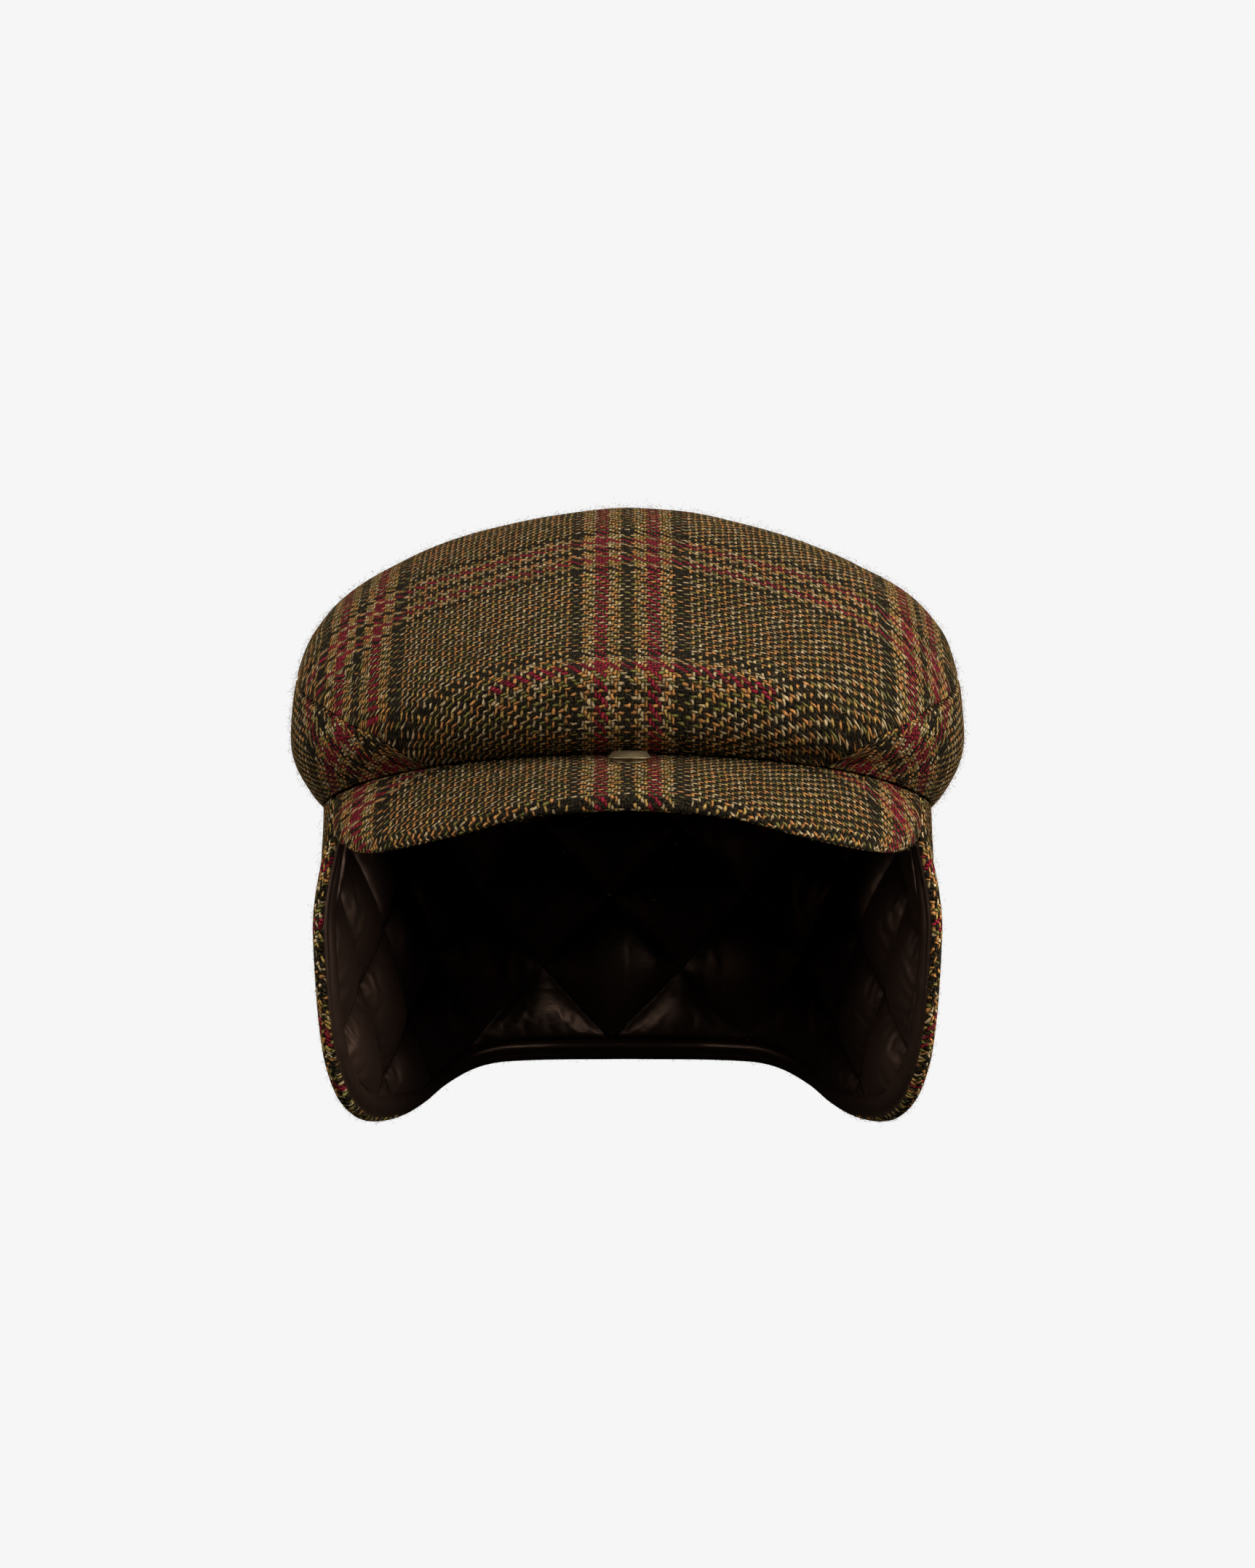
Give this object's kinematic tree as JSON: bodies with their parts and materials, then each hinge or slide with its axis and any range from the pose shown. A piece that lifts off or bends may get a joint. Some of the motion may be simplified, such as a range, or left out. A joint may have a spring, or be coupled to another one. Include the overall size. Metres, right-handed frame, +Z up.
{
  "type": "driving cap with ear and neck flap",
  "caption": "Flat driving cap in checked tweed with a short peak snapped to the crown and a quilted ear and neck flap turned down.",
  "frame": {"origin": "centre of the head opening, on the plane where the crown meets the flap", "axes": "+Z up through the crown, -Y towards the peak, +X to the wearer's left"},
  "size_m": [0.1918, 0.252, 0.1789],
  "materials": {
    "tweed": "woolly twill tweed in an olive and tan check with burgundy and black lines",
    "satin": "dark brown satin, quilted in diamonds over thin padding",
    "antique_brass": "brushed antique brass"
  },
  "bodies": {
    "root": {"crown_top": "tweed", "crown_side_left": "tweed", "crown_side_right": "tweed", "crown_lining": "satin", "peak": "tweed", "flap": "tweed", "flap_lining": "satin", "flap_facing": "satin", "snap_stud": "antique_brass", "snap_socket": "antique_brass"}
  },
  "joints": []
}
